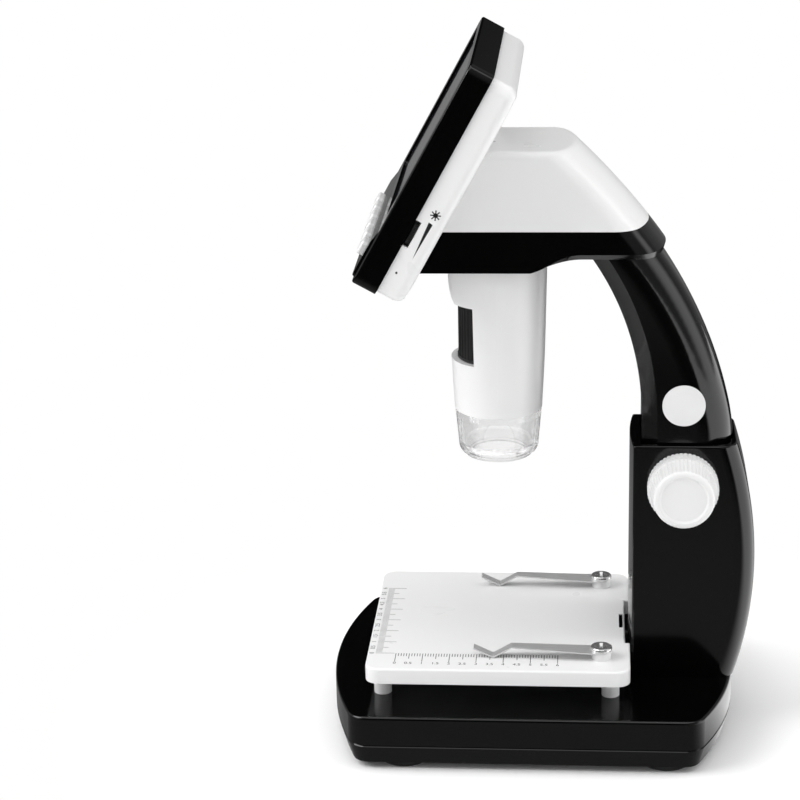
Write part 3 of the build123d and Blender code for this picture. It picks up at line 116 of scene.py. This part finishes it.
def bump(tree, shader, height, depth):
    """Relief from a 0..1 height, with its depth in metres."""
    node = tree.nodes.new("ShaderNodeBump")
    node.inputs["Strength"].default_value = 1.0
    node.inputs["Distance"].default_value = depth
    tree.links.new(height, node.inputs["Height"])
    tree.links.new(node.outputs["Normal"], shader.inputs["Normal"])


def moulded(name, first, second, rough, grain, depth):
    """Moulded plastic: slight colour drift, uneven gloss and a fine surface grain."""
    mat, tree, shader = new_material(name)
    paint(tree, shader, spread(tree, noise(tree, DRIFT_SCALE, 3.0), 0.0, 1.0), first, second)
    gloss(tree, shader, noise(tree, GLOSS_SCALE, 1.0), rough)
    shader.inputs["IOR"].default_value = PLASTIC_IOR
    bump(tree, shader, noise(tree, grain), depth)
    return mat


def metal(name, first, second, rough, stretch, depth, scale=900.0, share=1.0):
    """Brushed or turned metal: streaks along one direction in colour, gloss and relief."""
    mat, tree, shader = new_material(name)
    shader.inputs["Metallic"].default_value = share
    streak = noise(tree, scale, 3.0, 0.65, stretch)
    paint(tree, shader, spread(tree, streak, 0.0, 1.0), first, second)
    gloss(tree, shader, streak, rough)
    bump(tree, shader, streak, depth)
    return mat


def circuit_board(name):
    """Green lacquer over a fine pattern of square copper fields."""
    mat, tree, shader = new_material(name)
    coords = tree.nodes.new("ShaderNodeTexCoord")
    cells = tree.nodes.new("ShaderNodeTexVoronoi")
    cells.distance = "MANHATTAN"
    cells.inputs["Scale"].default_value = 520.0
    tree.links.new(coords.outputs["Object"], cells.inputs["Vector"])
    field = cells.outputs["Distance"]
    paint(tree, shader, spread(tree, field, 0.0, 1.0), (0.010, 0.085, 0.032), (0.022, 0.15, 0.055))
    gloss(tree, shader, noise(tree, 400.0), (0.28, 0.42))
    bump(tree, shader, field, 0.00001)
    return mat


def clear_material(name, color, rough, ior, body=1.0):
    """Clear plastic or glass; a body below 1 lets a share of the light straight through a thin wall."""
    mat, tree, shader = new_material(name)
    shader.inputs["Alpha"].default_value = body
    shader.inputs["Base Color"].default_value = (*color, 1)
    shader.inputs["Transmission Weight"].default_value = 1.0
    shader.inputs["IOR"].default_value = ior
    gloss(tree, shader, noise(tree, 300.0, 3.0), rough)
    bump(tree, shader, noise(tree, 90.0), 0.000004)
    return mat


def display_window(name):
    """A dark display under a smooth clear window."""
    mat, tree, shader = new_material(name)
    paint(tree, shader, noise(tree, 12.0), (0.012, 0.013, 0.016), (0.018, 0.019, 0.023))
    gloss(tree, shader, noise(tree, 60.0, 3.0), (0.05, 0.10))
    shader.inputs["IOR"].default_value = 1.52
    shader.inputs["Coat Weight"].default_value = 0.5
    shader.inputs["Coat Roughness"].default_value = 0.04
    return mat


def lamp_resin(name):
    """The cloudy yellow resin of a white lamp chip."""
    mat, tree, shader = new_material(name)
    paint(tree, shader, noise(tree, 1500.0), (0.80, 0.80, 0.70), (0.86, 0.85, 0.74))
    gloss(tree, shader, noise(tree, 900.0), (0.16, 0.28))
    return mat


def grey(value):
    return (value, value, value)


# name, two colours, roughness, grain scale, grain depth in metres
black = moulded("gloss_black_plastic", grey(0.0009), grey(0.0013), (0.10, 0.13), 300.0, 0.0000003)
white = moulded("gloss_white_plastic", grey(0.80), grey(0.80), (0.274, 0.278), 300.0, 0.0000001)
white_satin = moulded("satin_white_plastic", grey(0.80), grey(0.80), (0.384, 0.388), 300.0, 0.0000001)
button_white = moulded("button_white", grey(0.78), grey(0.785), (0.26, 0.29), 300.0, 0.0000002)
board_white = moulded("white_board", grey(0.80), grey(0.82), (0.4, 0.5), 700.0, 0.000003)
lamp_ring = moulded("lamp_ring_white", grey(0.78), grey(0.80), (0.45, 0.55), 1400.0, 0.000003)
inner_black = moulded("matt_black_moulding", grey(0.014), grey(0.022), (0.42, 0.58), 1400.0, 0.00002)
wheel_black = moulded("wheel_black_plastic", grey(0.012), grey(0.020), (0.30, 0.45), 1400.0, 0.00002)
grip_rubber = moulded("grip_rubber", grey(0.008), grey(0.016), (0.40, 0.56), 1800.0, 0.00003)
foot_rubber = moulded("foot_rubber", grey(0.010), grey(0.020), (0.62, 0.78), 2200.0, 0.00005)
nylon = moulded("natural_nylon", (0.72, 0.70, 0.63), (0.80, 0.78, 0.71), (0.38, 0.5), 1400.0, 0.00002)
keypad = moulded("silicone_mat", grey(0.28), grey(0.34), (0.55, 0.7), 1500.0, 0.00003)
cell_wrap = moulded("battery_wrap", (0.04, 0.10, 0.34), (0.05, 0.12, 0.40), (0.22, 0.34), 700.0, 0.00003)
ink = moulded("ink_and_hole_shade", grey(0.012), grey(0.022), (0.35, 0.5), 2500.0, 0.000004)

# name, two colours, roughness, stretch of the streaks, their depth in metres, their scale, metallic share
clip_steel = metal("brushed_spring_steel", grey(0.66), grey(0.78), (0.30, 0.42), (9.0, 0.35, 9.0), 0.000004,
                   scale=260.0, share=0.6)
chrome = metal("chromed_screw", grey(0.72), grey(0.80), (0.14, 0.22), (1.0, 1.0, 1.0), 0.000001, share=0.85)
zinc = metal("zinc_screw", (0.46, 0.46, 0.44), (0.58, 0.58, 0.55), (0.26, 0.38), (1.0, 1.0, 1.0), 0.000006)
shaft_steel = metal("ground_steel", grey(0.48), grey(0.56), (0.2, 0.3), (0.3, 6.0, 6.0), 0.000004)
plate_steel = metal("mill_plate", grey(0.34), grey(0.42), (0.36, 0.5), (1.0, 6.0, 1.0), 0.00001)
frame_metal = metal("display_frame_metal", grey(0.44), grey(0.52), (0.26, 0.4), (5.0, 0.6, 1.0), 0.000004)

board_green = circuit_board("circuit_board")
acrylic = clear_material("clear_acrylic", grey(0.86), (0.0, 0.02), 1.47, body=0.8)
lens_glass = clear_material("lens_glass", (0.92, 0.96, 0.97), (0.0, 0.01), 1.52)
window_dark = display_window("display_window")
led_epoxy = lamp_resin("led_epoxy")

LOOK = {
    black: ["base_top_shell", "base_bottom_cover", "column_right", "column_left", "arm_body",
            "arm_front_cover", "head_lower_shell", "screen_bezel", "control_panel"],
    white: ["stage_plate", "head_top_cap", "screen_rear_shell", "barrel_shell", "arm_disc"],
    white_satin: ["knob_right", "knob_left"],
    button_white: [f"button_{k}" for k in range(1, 7)],
    inner_black: ["lens_carriage", "battery_tray", "potentiometer"],
    wheel_black: ["brightness_wheel"],
    grip_rubber: ["focus_wheel"],
    foot_rubber: ["rubber_feet"],
    nylon: ["pinion", "rack", "knob_washers"],
    keypad: ["keypad_mat"],
    cell_wrap: ["battery"],
    clip_steel: ["clip_right", "clip_left"],
    chrome: ["clip_screws"],
    zinc: ["base_screws", "stage_screws", "column_screws", "column_base_screws", "rack_screws", "arm_screws",
           "head_screws", "tray_screws", "housing_screws", "board_screws", "barrel_screws", "usb_socket"],
    shaft_steel: ["knob_shaft"],
    plate_steel: ["base_ballast"],
    frame_metal: ["lcd_panel"],
    board_green: ["main_board", "sensor_board"],
    board_white: ["led_ring_board"],
    lamp_ring: ["barrel_ring"],
    acrylic: ["clear_cup"],
    lens_glass: ["lenses"],
    window_dark: ["display_glass"],
    led_epoxy: ["leds"],
}
for look, names in LOOK.items():
    for name in names:
        mesh = nodes[name].data
        mesh.materials.clear()
        mesh.materials.append(look)

# ================================================================ printed marks, and the painted shade of a pin hole
INK_HALF = 0.02     # half the thickness of a mark's plate, in millimetres


def inked_mark(name, mesh, body):
    """A mark in ink that rides on a body: print, and for the reset pin hole, painted shade."""
    mesh.materials.append(ink)
    piece = linked(name, mesh)
    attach(piece, body)


def ink_plates(name, outlines, place, body, top=INK_HALF):
    """Closed thin plates from 2-D outlines in millimetres, on both sides of a plane given by a matrix."""
    mesh = bpy.data.meshes.new(name)
    bm = bmesh.new()
    for outline in outlines:
        low = [bm.verts.new((x * MM, y * MM, -INK_HALF * MM)) for x, y in outline]
        high = [bm.verts.new((x * MM, y * MM, top * MM)) for x, y in outline]
        bm.faces.new(list(reversed(low)))
        bm.faces.new(high)
        for i in range(len(outline)):
            j = (i + 1) % len(outline)
            bm.faces.new([low[i], low[j], high[j], high[i]])
    bmesh.ops.recalc_face_normals(bm, faces=bm.faces)
    bm.to_mesh(mesh)
    bm.free()
    mesh.transform(place)
    inked_mark(name, mesh, body)


def basis(origin, x_axis, y_axis):
    """Matrix from a drawing plane to the frame: origin in metres, two unit axes."""
    x_axis, y_axis = Vector(x_axis), Vector(y_axis)
    z_axis = x_axis.cross(y_axis)
    rot = Matrix((x_axis, y_axis, z_axis)).transposed().to_4x4()
    return Matrix.Translation(origin) @ rot


def bar(x0, x1, y0, y1):
    return [(x0, y0), (x1, y0), (x1, y1), (x0, y1)]


def ring(centre, radius, count):
    x, y = centre
    angles = [math.tau * i / count for i in range(count)]
    return [(x + radius * math.cos(a), y + radius * math.sin(a)) for a in angles]


# ---------------------------------------------------------------- rulers on the stage, in millimetres
STAGE_TOP = 36.5
RULER_ZERO_Y = -53.45       # zero of the long ruler
RULER_X = 32.0              # zero of the cross ruler, and the line that the long one stands on
RULER_FRONT = -61.06        # the line that the cross ruler stands on
RULER_END = 60              # length of both
CM_TICK, HALF_TICK, MM_TICK = 7.0, 4.5, 2.4
LONG_TICK_HALF_WIDE = 0.12
CROSS_TICK_HALF_WIDE = 0.10
NUMBER_SIZE = 2.4
LONG_NUMBER_OUT = 8.3       # from the ruler's line to the middle of its numbers
CROSS_NUMBER_OUT = 1.4


def tick_length(k):
    return CM_TICK if k % 10 == 0 else HALF_TICK if k % 5 == 0 else MM_TICK


def number(text, place):
    """A printed number as a thin closed mesh."""
    curve = bpy.data.curves.new("number", "FONT")
    curve.body = text
    curve.size = NUMBER_SIZE * MM
    curve.align_x = "CENTER"
    curve.align_y = "CENTER"
    curve.extrude = INK_HALF * MM
    holder = linked("number_holder", curve)
    bpy.context.view_layer.update()
    mesh = bpy.data.meshes.new_from_object(holder.evaluated_get(bpy.context.evaluated_depsgraph_get()))
    bpy.data.objects.remove(holder)
    mesh.transform(place)
    return mesh


def printed_numbers(name, meshes, body):
    """All numbers of a ruler as one piece."""
    bm = bmesh.new()
    for mesh in meshes:
        bm.from_mesh(mesh)
    bmesh.ops.remove_doubles(bm, verts=bm.verts, dist=1e-7)
    whole = bpy.data.meshes.new(name)
    bm.to_mesh(whole)
    bm.free()
    inked_mark(name, whole, body)


long_ticks, cross_ticks = [], []
for k in range(RULER_END + 1):
    y = RULER_ZERO_Y + k
    long_ticks.append(bar(RULER_X, RULER_X + tick_length(k),
                          y - LONG_TICK_HALF_WIDE, y + LONG_TICK_HALF_WIDE))
    x = k - RULER_X
    cross_ticks.append(bar(RULER_FRONT, RULER_FRONT + tick_length(k),
                           x - CROSS_TICK_HALF_WIDE, x + CROSS_TICK_HALF_WIDE))
stage_origin = Vector((0, 0, STAGE_TOP)) * MM
ink_plates("ruler_ticks_long", long_ticks, basis(stage_origin, (1, 0, 0), (0, 1, 0)), "base")
ink_plates("ruler_ticks_cross", cross_ticks, basis(stage_origin, (0, 1, 0), (-1, 0, 0)), "base")

long_numbers, cross_numbers = [], []
for k in range(0, RULER_END + 1, 5):
    text = str(k // 10) if k % 10 == 0 else f"{k / 10:.1f}"
    here = Vector((RULER_X + LONG_NUMBER_OUT, RULER_ZERO_Y + k, STAGE_TOP)) * MM
    long_numbers.append(number(text, basis(here, (0, 1, 0), (-1, 0, 0))))
    there = Vector((RULER_X - k, RULER_FRONT - CROSS_NUMBER_OUT, STAGE_TOP)) * MM
    cross_numbers.append(number(text, basis(there, (-1, 0, 0), (0, -1, 0))))
printed_numbers("ruler_numbers_long", long_numbers, "base")
printed_numbers("ruler_numbers_cross", cross_numbers, "base")

# ---------------------------------------------------------------- brightness marks, and a pin hole's painted shade, on the display's side
TILT = math.radians(29.0)                   # the display leans back by this
FACE = Vector((0.0, -44.0, 221.4)) * MM     # the point on its front that it is drawn from
FACE_UP = Vector((0, math.sin(TILT), math.cos(TILT)))
FACE_OUT = Vector((0, -math.cos(TILT), math.sin(TILT)))
SIDE_X = 47.2                               # the right side of its rear shell
# The side is drawn with x up along the display and y to its back, from the same point. Its plane looks
# inwards, so the top of a mark's plate lies inside the shell.
SUN = (-7.3, 14.4)
SUN_CORE = 0.85
SUN_REACH = 1.85
SUN_RAYS = 8
RAY_HALF_ROOT, RAY_HALF_TIP = 0.16, 0.24
WEDGE = [(-10.5, 13.5), (-24.9, 14.7), (-10.7, 15.1)]
PIN_HOLE = (-31.8, 12.1)
PIN_HOLE_R = 0.42
PIN_HOLE_TOP = 0.01


def sun(centre, core, reach, rays):
    """A disc with rays that widen outwards, as outlines."""
    x, y = centre
    root = core / 2
    shapes = [ring(centre, core, 24)]
    for i in range(rays):
        a = math.tau * (i + 0.5) / rays
        c, s = math.cos(a), math.sin(a)
        corners = ((root, -RAY_HALF_ROOT), (reach, -RAY_HALF_TIP),
                   (reach, RAY_HALF_TIP), (root, RAY_HALF_ROOT))
        shapes.append([(x + r * c - w * s, y + r * s + w * c) for r, w in corners])
    return shapes


side_plane = basis(FACE + Vector((SIDE_X * MM, 0, 0)), FACE_UP, -FACE_OUT)
ink_plates("brightness_sun", sun(SUN, SUN_CORE, SUN_REACH, SUN_RAYS), side_plane, "arm")
ink_plates("brightness_wedge", [WEDGE], side_plane, "arm")
# The reset pin hole is not cut: a dark ink disc on the surface paints the shade inside it.
ink_plates("reset_pin_hole_shade", [ring(PIN_HOLE, PIN_HOLE_R, 20)], side_plane, "arm", top=PIN_HOLE_TOP)

# ================================================================ crossed screw heads, in millimetres
CLIP_X = 33.3
CLIP_Y = 22.5
PIN_R = 1.6
PIN_LOW = 32.5
HEAD_R = 4.1
HEAD_LOW = 39.9
HEAD_TOP = 41.4
CROWN_R = 0.9           # rounding of the head's upper edge
CROWN_STEPS = 5
SLOT_HALF = 0.62        # half the width of the crossed recess
SLOT_REACH = 2.3
SLOT_DEEP = 1.0
SLOT_TAPER = 0.62       # the recess's size at its bottom, as a share of its size at the top


def cross_radius(angle):
    """Distance from the centre to the edge of the crossed recess in one direction."""
    c, s = abs(math.cos(angle)), abs(math.sin(angle))
    return min(SLOT_REACH / max(c, s), SLOT_HALF / max(min(c, s), 1e-6))


def crossed_screw(bm, x, y):
    """A pan head with a crossed recess on a plain pin: rings of points, one above the other."""
    edge = math.atan2(SLOT_HALF, SLOT_REACH)
    eighth = [0.0, edge, (edge + math.pi / 4) / 2]
    quarter = eighth + [math.pi / 4] + [math.pi / 2 - a for a in reversed(eighth[1:])]
    angles = [a + q * math.pi / 2 for q in range(4) for a in quarter]
    turns = [math.pi / 2 * k / CROWN_STEPS for k in range(CROWN_STEPS + 1)]
    crown = [(HEAD_R - CROWN_R * (1 - math.cos(t)), HEAD_TOP - CROWN_R * (1 - math.sin(t))) for t in turns]
    rounds = [(PIN_R, PIN_LOW), (PIN_R, HEAD_LOW), (HEAD_R, HEAD_LOW)] + crown
    recess = [cross_radius(a) for a in angles]
    levels = [([r] * len(angles), z) for r, z in rounds]
    levels.append((recess, HEAD_TOP))
    levels.append(([SLOT_TAPER * r for r in recess], HEAD_TOP - SLOT_DEEP))
    loops = [[bm.verts.new(((x + r * math.cos(a)) * MM, (y + r * math.sin(a)) * MM, z * MM))
              for r, a in zip(radii, angles)] for radii, z in levels]
    bm.faces.new(list(reversed(loops[0])))
    for low, high in zip(loops, loops[1:]):
        for i in range(len(angles)):
            j = (i + 1) % len(angles)
            bm.faces.new([low[i], low[j], high[j], high[i]])
    bm.faces.new(loops[-1])


screw_mesh = bpy.data.meshes.new("crossed_clip_screws")
screw_bm = bmesh.new()
for side in (-1, 1):
    crossed_screw(screw_bm, side * CLIP_X, CLIP_Y)
screw_bm.to_mesh(screw_mesh)
screw_bm.free()
screw_mesh.materials.append(chrome)
clip_screws = linked("crossed_clip_screws", screw_mesh)
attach(clip_screws, "base")
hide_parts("clip_screws")


# ================================================================ room, light and camera
def math_node(tree, operation, *values, clamp=False):
    """The output of one operation on numbers and outputs of other nodes."""
    node = tree.nodes.new("ShaderNodeMath")
    node.operation = operation
    node.use_clamp = clamp
    for value, socket in zip(values, node.inputs):
        if isinstance(value, float):
            socket.default_value = value
        else:
            tree.links.new(value, socket)
    return node.outputs[0]


def ramp(tree, value, start, end, first=0.0, last=1.0):
    """A number that goes smoothly from first to last while the value goes from start to end."""
    node = tree.nodes.new("ShaderNodeMapRange")
    node.interpolation_type = "SMOOTHSTEP"
    node.inputs["From Min"].default_value = start
    node.inputs["From Max"].default_value = end
    node.inputs["To Min"].default_value = first
    node.inputs["To Max"].default_value = last
    tree.links.new(value, node.inputs["Value"])
    return node.outputs["Result"]


def glow(tree, kind, strength=1.0):
    """A white background or emission of the given strength."""
    node = tree.nodes.new(kind)
    node.inputs["Color"].default_value = (1, 1, 1, 1)
    node.inputs["Strength"].default_value = strength
    return node


def mixed(tree, fac, first, second):
    node = tree.nodes.new("ShaderNodeMixShader")
    tree.links.new(fac, node.inputs["Fac"])
    tree.links.new(first.outputs[0], node.inputs[1])
    tree.links.new(second.outputs[0], node.inputs[2])
    return node


def split_axes(tree, output):
    """One of the coordinate outputs, whole and split in X, Y and Z."""
    coords = tree.nodes.new("ShaderNodeTexCoord")
    split = tree.nodes.new("ShaderNodeSeparateXYZ")
    tree.links.new(coords.outputs[output], split.inputs["Vector"])
    return coords.outputs[output], split


def through(tree, path):
    """1 for every ray that has gone through a clear piece before, else 0."""
    return math_node(tree, "GREATER_THAN", path.outputs["Transmission Depth"], 0.5)


def behind(tree, split):
    """How far towards +Y a place or a direction is, less 0.9 of how far it is off to either side in X."""
    across = math_node(tree, "ABSOLUTE", split.outputs["X"])
    return math_node(tree, "MULTIPLY_ADD", across, -0.9, split.outputs["Y"])


AMBIENT = 0.56          # strengths of the room: for diffuse light,
MIRRORED_DARK = 0.006   # and for reflections in the dark middle,
MIRRORED_LEFT = 0.55    # at -Y,
MIRRORED_FAINT = 0.25   # at +Y,
MIRRORED_RIGHT = 1.7    # and in the narrow bright sector round +Y
LEFT_EDGE = (0.55, 0.95)    # where each of these parts begins and where it is full, along a unit direction
FAINT_EDGE = (0.05, 0.50)
RIGHT_EDGE = (0.50, 0.90)


def world_light():
    """White to the eye and through clear pieces, a dim studio with bright sides for reflections, and an even
    grey for diffuse light."""
    world = bpy.data.worlds.new("studio")
    tree, out = empty_tree(world, "ShaderNodeOutputWorld")
    path = tree.nodes.new("ShaderNodeLightPath")
    _, split = split_axes(tree, "Generated")
    ambient, dark, left, faint, right, white_room = [
        glow(tree, "ShaderNodeBackground", strength)
        for strength in (AMBIENT, MIRRORED_DARK, MIRRORED_LEFT, MIRRORED_FAINT, MIRRORED_RIGHT, 1.0)]
    to_left = math_node(tree, "MULTIPLY", split.outputs["Y"], -1.0)
    mirrored = mixed(tree, ramp(tree, to_left, *LEFT_EDGE), dark, left)
    mirrored = mixed(tree, ramp(tree, split.outputs["Y"], *FAINT_EDGE), mirrored, faint)
    mirrored = mixed(tree, ramp(tree, behind(tree, split), *RIGHT_EDGE), mirrored, right)
    seen = math_node(tree, "MAXIMUM", path.outputs["Is Camera Ray"], through(tree, path))
    unseen = mixed(tree, path.outputs["Is Glossy Ray"], ambient, mirrored)
    whole = mixed(tree, seen, unseen, white_room)
    tree.links.new(whole.outputs[0], out.inputs["Surface"])
    bpy.context.scene.world = world


FLOOR_HALF = 4.0
PAPER = 0.95            # the floor's reflectance
SHADOW_NEAR = 0.10      # nearer to the middle than this, in metres, the floor shows only the light on it,
SHADOW_FAR = 0.19       # and further away than this it is white
# The floor's glare in reflections: start, end in metres, and the strengths at them.
GLARE_AROUND = (0.16, 0.55, 0.22, 0.015)    # by the distance from the middle
GLARE_BEHIND = (0.0, 0.13, 0.0, 1.8)        # towards +Y
GLARE_OPPOSITE = (-1.1, -0.45, 0.2, 0.0)    # along X, far on the side away from the camera


def floor():
    """White paper that keeps the shadow near the object, and has its own glare in reflections."""
    mesh = bpy.data.meshes.new("floor")
    corners = [(x * FLOOR_HALF, y * FLOOR_HALF, 0) for x, y in ((-1, -1), (1, -1), (1, 1), (-1, 1))]
    mesh.from_pydata(corners, [], [(0, 1, 2, 3)])
    mat = bpy.data.materials.new("floor_paper")
    tree, out = empty_tree(mat, "ShaderNodeOutputMaterial")
    path = tree.nodes.new("ShaderNodeLightPath")
    paper = tree.nodes.new("ShaderNodeBsdfDiffuse")
    paper.inputs["Color"].default_value = (*grey(PAPER), 1)
    white_light = glow(tree, "ShaderNodeEmission")
    glare = glow(tree, "ShaderNodeEmission")
    place, split = split_axes(tree, "Object")
    away = tree.nodes.new("ShaderNodeVectorMath")
    away.operation = "LENGTH"
    tree.links.new(place, away.inputs[0])
    distance = away.outputs["Value"]

    strength = math_node(tree, "ADD", ramp(tree, distance, *GLARE_AROUND),
                         ramp(tree, behind(tree, split), *GLARE_BEHIND))
    strength = math_node(tree, "ADD", strength, ramp(tree, split.outputs["X"], *GLARE_OPPOSITE))
    tree.links.new(strength, glare.inputs["Strength"])

    clear = through(tree, path)
    seen = math_node(tree, "MAXIMUM", path.outputs["Is Camera Ray"], clear)
    share = math_node(tree, "MULTIPLY", seen, ramp(tree, distance, SHADOW_NEAR, SHADOW_FAR))
    in_mirror = math_node(tree, "SUBTRACT", path.outputs["Is Glossy Ray"], clear, clamp=True)
    whole = mixed(tree, in_mirror, mixed(tree, share, paper, white_light), glare)
    tree.links.new(whole.outputs[0], out.inputs["Surface"])
    mesh.materials.append(mat)
    piece = linked("floor", mesh)


CAMERA_PLACE = (0.8414, 0.01995, 0.4158)
CAMERA_YAW = math.radians(4.93)
CAMERA_PITCH = math.radians(19.0)
CAMERA_ROLL = math.radians(-1.29)
CAMERA_LENS = 108.0


def camera():
    """A long lens a little above the object, to its right."""
    yaw, pitch, roll = CAMERA_YAW, CAMERA_PITCH, CAMERA_ROLL
    forward = Vector((-math.cos(yaw) * math.cos(pitch), -math.sin(yaw) * math.cos(pitch), -math.sin(pitch)))
    right = Vector((-math.sin(yaw), math.cos(yaw), 0))
    up = right.cross(forward)
    turned = math.cos(roll) * right + math.sin(roll) * up
    lifted = math.cos(roll) * up - math.sin(roll) * right
    data = bpy.data.cameras.new("camera")
    data.sensor_width = 36.0
    data.lens = CAMERA_LENS
    data.clip_start = 0.05
    data.clip_end = 20.0
    eye = linked("camera", data)
    rot = Matrix((turned, lifted, -forward)).transposed().to_4x4()
    eye.matrix_world = Matrix.Translation(CAMERA_PLACE) @ rot
    bpy.context.scene.camera = eye


def area(name, place, target, size, power):
    """A rectangular lamp of the given power in watts, turned to a target."""
    lamp = bpy.data.lights.new(name, "AREA")
    lamp.shape = "RECTANGLE"
    lamp.size, lamp.size_y = size
    lamp.energy = power
    holder = linked(name, lamp)
    holder.location = place
    holder.rotation_euler = (Vector(target) - Vector(place)).to_track_quat("-Z", "Y").to_euler()
    return holder


world_light()
floor()
camera()
area("key", (0.35, -1.05, 1.0), (0, 0, 0.1), (0.9, 0.9), 12.5)
area("right", (0.1, 1.0, 0.5), (0, 0.02, 0.12), (0.45, 1.2), 4.5).visible_glossy = False
area("top", (0.15, -0.1, 1.5), (0, 0, 0.05), (1.6, 1.6), 10.5)
bpy.context.scene.view_settings.view_transform = "Standard"
